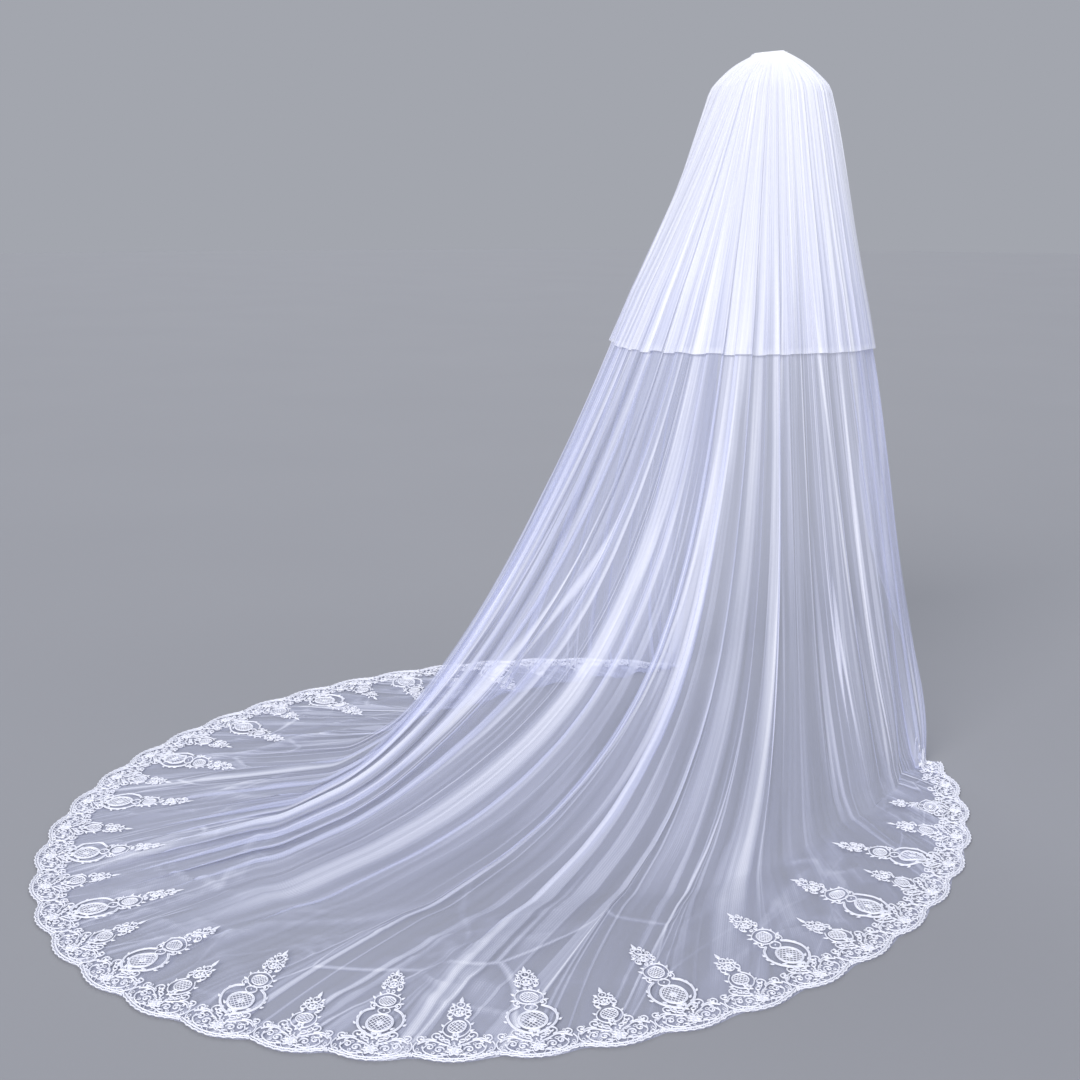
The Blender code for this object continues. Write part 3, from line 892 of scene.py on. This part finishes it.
probe_x, probe_y = on_hem(*np.meshgrid(probe_along, probe_depth, indexing="ij"))
heights = np.full(probe_x.shape, TOP_OF_CLOTH)
for place in np.ndindex(probe_x.shape):
    start = Vector((probe_x[place], probe_y[place], FLOOR + PROBE_RISE))
    hit = surface.ray_cast(start, Vector((0, 0, -1)))[0]
    if hit is not None:
        heights[place] = max(hit.z, TOP_OF_CLOTH)
print(f"cloth under the lace rises to {1000 * (heights.max() - FLOOR):.0f} mm")


def height_at(along, depth):
    """The cloth's height, read between the four probes nearest."""
    last_a, last_d = len(probe_along) - 1, len(probe_depth) - 1
    a = np.clip((along + HALF_HEM) / (2 * HALF_HEM) * last_a, 0, last_a - 0.001)
    d = np.clip(depth / probe_depth[-1] * last_d, 0, last_d - 0.001)
    i, j = a.astype(int), d.astype(int)
    s, t = a - i, d - j
    low = heights[i, j] * (1 - s) + heights[i + 1, j] * s
    high = heights[i, j + 1] * (1 - s) + heights[i + 1, j + 1] * s
    return low * (1 - t) + high * t


# %% Lay lace from stamps
SPRAY_FOOT = 0.06
LACE_LIFT = 0.0005


def lay_lace(name, stamps):
    """One piece of lace, from stamps of motif, middle along the hem, scale inwards, scale along and lean.

    It stops at the veil's corners. The scale inwards and the lean start at the foot of a spray.
    """
    points, faces = [], []
    total = 0
    for motif, middle, tall, wide, lean in stamps:
        flat, sides = lace_stock[motif]
        along = middle + flat[:, 0] * wide + lean * np.clip(flat[:, 1] - SPRAY_FOOT, 0, None)
        whole = np.abs(along) <= HALF_HEM
        sides = [side for side in sides if all(whole[i] for i in side)]
        flat, along = flat[whole], along[whole]
        place = np.cumsum(whole) - 1
        past_foot = flat[:, 1] - SPRAY_FOOT
        depth = np.where(past_foot > 0, SPRAY_FOOT + past_foot * tall, flat[:, 1])
        x, y = on_hem(along, depth)
        points.append(np.column_stack([x, y, height_at(along, depth) + LACE_LIFT + flat[:, 2]]))
        faces += [tuple(int(total + place[i]) for i in side) for side in sides]
        total += len(flat)
    mesh = bpy.data.meshes.new(name)
    mesh.from_pydata(np.vstack(points).tolist(), [], faces)
    mesh.validate()
    lace = link(name, mesh)
    pick(lace)
    bpy.ops.object.shade_smooth()
    return lace


# %% Lay the border and the sprays
# The last tall spray each way is drawn small, to stay on the flat cloth of the corner
CORNER_STEP, CORNER_TALL, CORNER_WIDE = 17, 0.52, 0.7
lace_pieces = {}
for side, hand in ((-1, "left"), (1, "right")):
    middles = [side * PITCH * k for k in range(0 if side > 0 else 1, SCALLOPS // 2 + 1)]
    lace_pieces[f"lace_border_{hand}"] = lay_lace(
        f"border_lace_{hand}", [("scallop", middle, 1.0, 1.0, 0.0) for middle in middles]
    )
for name in sorted(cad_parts):
    if "_spray_" not in name:
        continue
    kind, _, hand, step = name.split("_")
    middle = (1 if hand == "right" else -1) * int(step) * PITCH
    tall, wide = seeded.uniform(0.92, 1.03), seeded.uniform(0.92, 1.02)
    lean = seeded.uniform(-0.16, 0.16)
    if kind == "tall" and int(step) >= CORNER_STEP:
        tall, wide = CORNER_TALL, CORNER_WIDE
    lace_pieces[name] = lay_lace(f"{kind}_lace_{hand}_{step}", [(f"{kind}_spray", middle, tall, wide, lean)])
added = sum(sum(len(p.vertices) - 2 for p in piece.data.polygons) for piece in lace_pieces.values())
print(f"{len(lace_pieces)} pieces of lace, {added} triangles")

# %% [markdown]
# ## The comb and its casing
# The gathers are rolled into a narrow satin casing and sewn down on a clear or metal comb. The comb is a
# bowed wire spine with tapered teeth: one tooth is a thin cylinder, cut into rings, tapered and bent a
# little, then copied along the spine. The casing is a cylinder laid along the spine, cut into rings and
# puckered where the gathers pull.

# %% Make the comb's spine
SPINE = 0.0017


def bow(x):
    return -COMB_BOW * (x / COMB_HALF_WIDTH) ** 2


def cut_across(places, axis):
    """Cuts the active mesh into rings at places along one axis."""
    bpy.ops.object.mode_set(mode="EDIT")
    for place in places:
        bpy.ops.mesh.select_all(action="SELECT")
        bpy.ops.mesh.bisect(plane_co=tuple(float(place) * a for a in axis), plane_no=axis)
    bpy.ops.object.mode_set(mode="OBJECT")


def lay_along_x(radius, half_width, rings, sides):
    """A cylinder primitive laid along X, cut into rings, centred on the origin."""
    bpy.ops.object.select_all(action="DESELECT")
    bpy.ops.mesh.primitive_cylinder_add(
        vertices=sides, radius=radius, depth=2 * half_width, rotation=(0, math.pi / 2, 0)
    )
    bpy.ops.object.transform_apply(rotation=True)
    cut_across(np.linspace(-half_width, half_width, rings + 2)[1:-1], (1, 0, 0))
    return bpy.context.object


spine = lay_along_x(SPINE, COMB_HALF_WIDTH, 24, 10)
for v in spine.data.vertices:
    v.co.y += bow(v.co.x)
print(f"spine: {len(spine.data.polygons)} faces")

# %% Make one tooth and copy it along the spine
TEETH = 20
TEETH_SPREAD = 0.965
TOOTH = 0.00085
TOOTH_LONG = 0.040
TOOTH_TOP = 0.0005
TOOTH_TAPER = 0.45
TOOTH_BEND = 0.0010
bpy.ops.object.select_all(action="DESELECT")
bpy.ops.mesh.primitive_cylinder_add(
    vertices=8, radius=TOOTH, depth=TOOTH_LONG, location=(0, 0, TOOTH_TOP - TOOTH_LONG / 2)
)
tooth = bpy.context.object
bpy.ops.object.transform_apply(location=True)
cut_across((-0.008, -0.018, -0.028, -0.036), (0, 0, 1))
for v in tooth.data.vertices:
    share = min(max(-v.co.z / (TOOTH_LONG - TOOTH_TOP), 0), 1)
    taper = 1 - TOOTH_TAPER * share**3
    v.co.x *= taper
    v.co.y = v.co.y * taper - TOOTH_BEND * math.sin(math.pi * share)
teeth = []
for x in np.linspace(-1, 1, TEETH) * COMB_HALF_WIDTH * TEETH_SPREAD:
    copy = link("tooth", tooth.data.copy())
    for v in copy.data.vertices:
        v.co.x += x
        v.co.y += bow(x)
    teeth.append(copy)
bpy.data.objects.remove(tooth, do_unlink=True)
pick(spine, *teeth)
bpy.ops.object.join()
comb = bpy.context.object
comb.name = "wire_comb"
bpy.ops.object.shade_smooth_by_angle(angle=math.radians(40))
print(f"comb: {len(comb.data.polygons)} faces")

# %% Make the gathered casing
CASING = 0.0043
CASING_HALF_WIDTH = 0.0440
CASING_END = 0.0015
CASING_BEHIND = 0.0058
casing = lay_along_x(CASING, CASING_HALF_WIDTH, 87, 20)
casing.name = "satin_casing"
for v in casing.data.vertices:
    x, y, z = v.co
    pucker = 1 + 0.07 * math.sin(x * 2300 + 3 * math.sin(x * 310)) + 0.03 * math.sin(x * 5200)
    near_end = max(0.0, (abs(x) - (CASING_HALF_WIDTH - CASING_END)) / CASING_END)
    pucker *= 1 - 0.35 * near_end**2
    v.co = (x, y * pucker + CASING_BEHIND + bow(x), z * pucker)
pick(casing)
bpy.ops.object.shade_smooth()
print(f"casing: {len(casing.data.polygons)} faces")

# %% [markdown]
# ## Finishes
# A material's sums are easier to read as sums than as boxes and wires, so one small class wraps a wire and
# lets Python's own signs add the Math nodes.

# %% A wire and a finish
class Wire:
    def __init__(self, finish, socket):
        self.finish, self.socket = finish, socket

    def maths(self, operation, first, second):
        return self.finish.node("ShaderNodeMath", {"operation": operation}, {0: first, 1: second})

    def __add__(self, other):
        return self.maths("ADD", self, other)

    __radd__ = __add__

    def __sub__(self, other):
        return self.maths("SUBTRACT", self, other)

    def __rsub__(self, other):
        return self.maths("SUBTRACT", other, self)

    def __mul__(self, other):
        return self.maths("MULTIPLY", self, other)

    __rmul__ = __mul__

    def __pow__(self, other):
        return self.maths("POWER", self, other)

    def __rpow__(self, other):
        return self.maths("POWER", other, self)


class Finish:
    """One material. Its node method adds any node; its wear method feeds the shader."""

    def __init__(self, name):
        self.material = bpy.data.materials.new(name)
        self.material.use_nodes = True
        self.tree = self.material.node_tree
        self.shader = self.tree.nodes["Principled BSDF"]

    def feed(self, socket, value):
        if isinstance(value, Wire):
            self.tree.links.new(value.socket, socket)
        else:
            socket.default_value = value

    def node(self, kind, settings, sockets, output=0):
        made = self.tree.nodes.new(kind)
        for name, value in settings.items():
            setattr(made, name, value)
        for place, value in sockets.items():
            self.feed(made.inputs[place], value)
        return Wire(self, made.outputs[output])

    def mix(self, share, first, second):
        return self.node("ShaderNodeMix", {"data_type": "RGBA"}, {0: share, 6: first, 7: second}, 2)

    def wear(self, **sockets):
        for name, value in sockets.items():
            self.feed(self.shader.inputs[name.replace("_", " ")], value)
        return self.material


# %% [markdown]
# ### Tulle
# Tulle is a net of fine holes. One layer hides about a fifth of what is behind it, and each further layer
# hides the same share of the rest, so with the layers attribute the cloth's alpha is 1 - clear ** layers.
# Streaks run down the threads from the comb, because gathers never spread quite evenly. Thin lines that come
# and go run the same way, for tucks narrower than the mesh can hold, and on the floor a web of fine lines
# stands for crumpled net. A small net pattern breaks the surface up close to. All of these read the sheet's
# own UV map, in metres of cloth, so they follow each fold.

# %% Patterns that follow the cloth
def stretched(finish, cloth, scale):
    """The cloth's own lengths, with so many patches to a metre across and down."""
    return finish.node("ShaderNodeMapping", {}, {0: cloth, 3: (*scale, 1.0)})


def patches(finish, cloth, scale, detail):
    sockets = {"Vector": stretched(finish, cloth, scale), "Scale": 1.0, "Detail": detail}
    return finish.node("ShaderNodeTexNoise", {"noise_dimensions": "2D"}, sockets)


def web(finish, place, scale, uneven):
    """How far a point is from the nearest edge of a net of cells."""
    settings = {"feature": "DISTANCE_TO_EDGE", "voronoi_dimensions": "2D"}
    sockets = {"Vector": place, "Scale": scale, "Randomness": uneven}
    return finish.node("ShaderNodeTexVoronoi", settings, sockets)


def ramp(finish, value, low, high, at_low, at_high):
    return finish.node("ShaderNodeMapRange", {}, {0: value, 1: low, 2: high, 3: at_low, 4: at_high})


def fine_lines(finish, cloth, scale, width):
    """1 on a thin line, 0 off it: the lines are where soft patches pass through their middle value."""
    off = patches(finish, cloth, scale, 1.0) - 0.5
    return ramp(finish, off * off, 0.0, width, 1.0, 0.0)


# %% Mix the tulle
CLEAR = 0.80
# The thin net's blue-grey is painted shade: the threads are one colour, and the darker, bluer tone where the
# net is sheer stands in for bluish light and shade
THIN_NET_PAINTED_SHADE = (0.53, 0.58, 0.92, 1.0)
DENSE_NET = (0.95, 0.955, 0.99, 1.0)
# Metres down the cloth where it has begun to lie on the floor, and where all of it does
FLOOR_FROM, FLOOR_FULL = 1.75, 2.15
tulle = Finish("soft_tulle")
cloth = tulle.node("ShaderNodeUVMap", {"uv_map": "cloth"}, {})
layers = tulle.node("ShaderNodeAttribute", {"attribute_name": "layers", "attribute_type": "GEOMETRY"}, {}, 2)
wide_streaks = patches(tulle, cloth, (26.0, 1.1), 2.0)
fine_streaks = patches(tulle, cloth, (120.0, 2.6), 3.0)
streaks = 0.30 + 0.40 * wide_streaks + fine_streaks
bold = fine_lines(tulle, cloth, (9.0, 0.34), 0.0007)
thin = fine_lines(tulle, cloth, (27.0, 0.55), 0.0022)
come_and_go = ramp(tulle, patches(tulle, cloth, (4.0, 1.3), 1.0), 0.36, 0.62, 0.15, 1.0)
down = tulle.node("ShaderNodeSeparateXYZ", {}, {0: cloth}, 1)
on_floor = ramp(tulle, down, FLOOR_FROM, FLOOR_FULL, 0.0, 1.0)
crumple = ramp(tulle, web(tulle, stretched(tulle, cloth, (9.0, 4.6)), 1.0, 1.0), 0.0, 0.028, 1.0, 0.0)
lines = (3.8 * bold + 1.6 * thin + 4.5 * crumple * on_floor) * come_and_go
thread = ramp(tulle, web(tulle, cloth, 420.0, 0.35), 0.02, 0.16, 1.16, 0.86)
cover = (1.0 - CLEAR ** (layers * streaks + lines)) * thread
# The base colour runs from painted blue-grey shade where the net is sheer to the net's own white where it is
# dense
tulle_material = tulle.wear(
    Base_Color=tulle.mix(cover, THIN_NET_PAINTED_SHADE, DENSE_NET), Alpha=cover, Roughness=0.70, Specular_IOR_Level=0.25,
    Sheen_Weight=0.35, Sheen_Roughness=0.4, Sheen_Tint=(0.90, 0.93, 1.0, 1.0),
)
print(f"one layer of tulle hides {100 * (1 - CLEAR):.0f} % of what is behind it")

# %% [markdown]
# ### Lace cord, satin and the comb's metal
# The cord is twisted from bright rayon, so it is white with a soft shine and a fine roughness. The casing's
# satin is smoother. The comb is plated wire. None of these needs to follow a stretched surface, so plain
# noise on Object coordinates does.

# %% Mix the lace, satin and metal
def speckle(finish, scale, detail):
    place = finish.node("ShaderNodeTexCoord", {}, {}, 3)
    return finish.node("ShaderNodeTexNoise", {}, {"Vector": place, "Scale": scale, "Detail": detail})


def raised(finish, height, strength, distance):
    sockets = {"Strength": strength, "Distance": distance, "Height": height}
    return finish.node("ShaderNodeBump", {}, sockets)


lace = Finish("lace_cord")
worn = speckle(lace, 140.0, 2.0)
lace_material = lace.wear(
    Base_Color=lace.mix(worn, (0.72, 0.74, 0.86, 1.0), (0.93, 0.935, 0.99, 1.0)),
    Roughness=0.38 + 0.25 * worn,
    Normal=raised(lace, speckle(lace, 1500.0, 1.0), 0.35, 0.0004),
    Sheen_Weight=0.4, Sheen_Roughness=0.3, Specular_IOR_Level=0.6,
)
satin = Finish("casing_satin")
weave = speckle(satin, 900.0, 2.0)
satin_material = satin.wear(
    Base_Color=satin.mix(weave, (0.84, 0.85, 0.91, 1.0), (0.95, 0.95, 0.99, 1.0)),
    Roughness=0.30 + 0.2 * weave,
    Normal=raised(satin, weave, 0.3, 0.0003),
    Sheen_Weight=0.3,
)
metal = Finish("comb_metal")
rubbed = speckle(metal, 260.0, 3.0)
metal_material = metal.wear(
    Base_Color=metal.mix(rubbed, (0.70, 0.70, 0.72, 1.0), (0.82, 0.82, 0.84, 1.0)),
    Roughness=0.18 + 0.18 * rubbed,
    Metallic=1.0,
)
print("finishes:", ", ".join(finish.material.name for finish in (tulle, lace, satin, metal)))

# %% [markdown]
# ## Tie every piece to the frame
# Each piece takes its finish, rides on the part's one body, and stands for its CAD node, which is hidden.
# Both tiers are sheets. The short tier's mesh holds only about 0.67 square metres, where its real cut is
# perhaps 2.2 square metres. The sheet check refused 1.3 and later 1.0, and the 0.85 below was chosen after
# that, to fit the mesh. A truer tier needs its deep gathers in the mesh itself.

# %% Ride and replace
def settle(piece, finish, slot, *nodes):
    piece.data.materials.clear()
    piece.data.materials.append(finish)
    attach(piece, "root")
    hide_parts(*nodes)


settle(long_tier, tulle_material, "tulle", "long_tier")
settle(upper_tier, tulle_material, "tulle", "upper_tier")
settle(casing, satin_material, "satin", "gather_casing")
settle(comb, metal_material, "comb_metal", "comb")
for node, piece in lace_pieces.items():
    settle(piece, lace_material, "lace", node)

print(f"{4 + len(lace_pieces)} pieces settled on the frame")

# %% [markdown]
# ## Floor, light and camera
# A plain pale floor runs out to a backdrop of nearly the same tone. Sheer white net only shows against
# something darker, so both are kept at a middling grey. Three distant lights with a wide, soft spread light
# all of the floor evenly: the key stands to the camera's left, a weaker one fills from its right, and one
# beyond the veil lets the sheer cloth glow.

# %% Lay the floor
FLOOR_RADIUS = 30.0
FLOOR_MIDDLE = (0, 0.7)
FLOOR_GAP = 0.0006
bpy.ops.object.select_all(action="DESELECT")
bpy.ops.mesh.primitive_circle_add(
    vertices=96, radius=FLOOR_RADIUS, fill_type="NGON", location=(*FLOOR_MIDDLE, cad_box[0][2] - FLOOR_GAP)
)
floor = bpy.context.object
floor.name = "studio_floor"
backing = Finish("pale_floor")
floor_colour = backing.mix(speckle(backing, 0.8, 2.0), (0.285, 0.29, 0.315, 1.0), (0.30, 0.305, 0.33, 1.0))
floor.data.materials.append(backing.wear(Base_Color=floor_colour, Roughness=0.85, Specular_IOR_Level=0.2))
print(f"floor {1000 * FLOOR_GAP:.1f} mm under the veil")


# %% Set the lights
def add_light(name, place, aim, spread, power, colour):
    """A distant light. A wide spread, in radians, softens its shadows as a large softbox does."""
    bpy.ops.object.light_add(type="SUN", location=place)
    lamp = bpy.context.object
    lamp.name = name
    lamp.data.energy = power
    lamp.data.color = colour
    lamp.data.angle = spread
    lamp.rotation_mode = "QUATERNION"
    lamp.rotation_quaternion = (Vector(aim) - Vector(place)).to_track_quat("-Z", "Y")


add_light("key", (-1.75, 4.4, 1.7), (0, 0.5, -0.9), 0.6, 2.6, (1.0, 0.99, 0.98))
add_light("side", (-4.0, -1.0, 1.6), (0, 0.3, -0.8), 0.9, 0.7, (0.94, 0.96, 1.0))
add_light("back", (3.0, -1.6, 1.8), (0, 0.3, -0.8), 0.8, 1.1, (0.92, 0.95, 1.0))
print("lights:", ", ".join(light.name for light in bpy.data.lights))

# %% Set the backdrop
BACKDROP = (0.366, 0.381, 0.423, 1.0)
world = bpy.data.worlds.new("studio")
bpy.context.scene.world = world
world.use_nodes = True
world.node_tree.nodes["Background"].inputs["Color"].default_value = BACKDROP
world.node_tree.nodes["Background"].inputs["Strength"].default_value = 1.0
bpy.context.scene.view_settings.view_transform = "Standard"
# Many layers of net lie behind one another, and each is one more clear surface to look through
bpy.context.scene.cycles.transparent_max_bounces = 48

# %% Place the camera
CAMERA_AT = (-2.261, 2.452, -0.297)
LOOK_ROUND = (0.783, -0.622)
LOOK_DOWN = math.radians(14.0)
SENSOR = 36.0
LENS = 140 / 3
look = Vector((*(math.cos(LOOK_DOWN) * part for part in LOOK_ROUND), -math.sin(LOOK_DOWN)))
bpy.ops.object.camera_add(location=CAMERA_AT)
camera = bpy.context.object
camera.rotation_mode = "QUATERNION"
camera.rotation_quaternion = look.to_track_quat("-Z", "Y")
camera.data.sensor_width = SENSOR
camera.data.lens = LENS
camera.data.clip_end = 200.0
bpy.context.scene.camera = camera
print(f"camera {math.hypot(*CAMERA_AT[:2]):.2f} m from the comb, with a {LENS:.0f} mm lens")
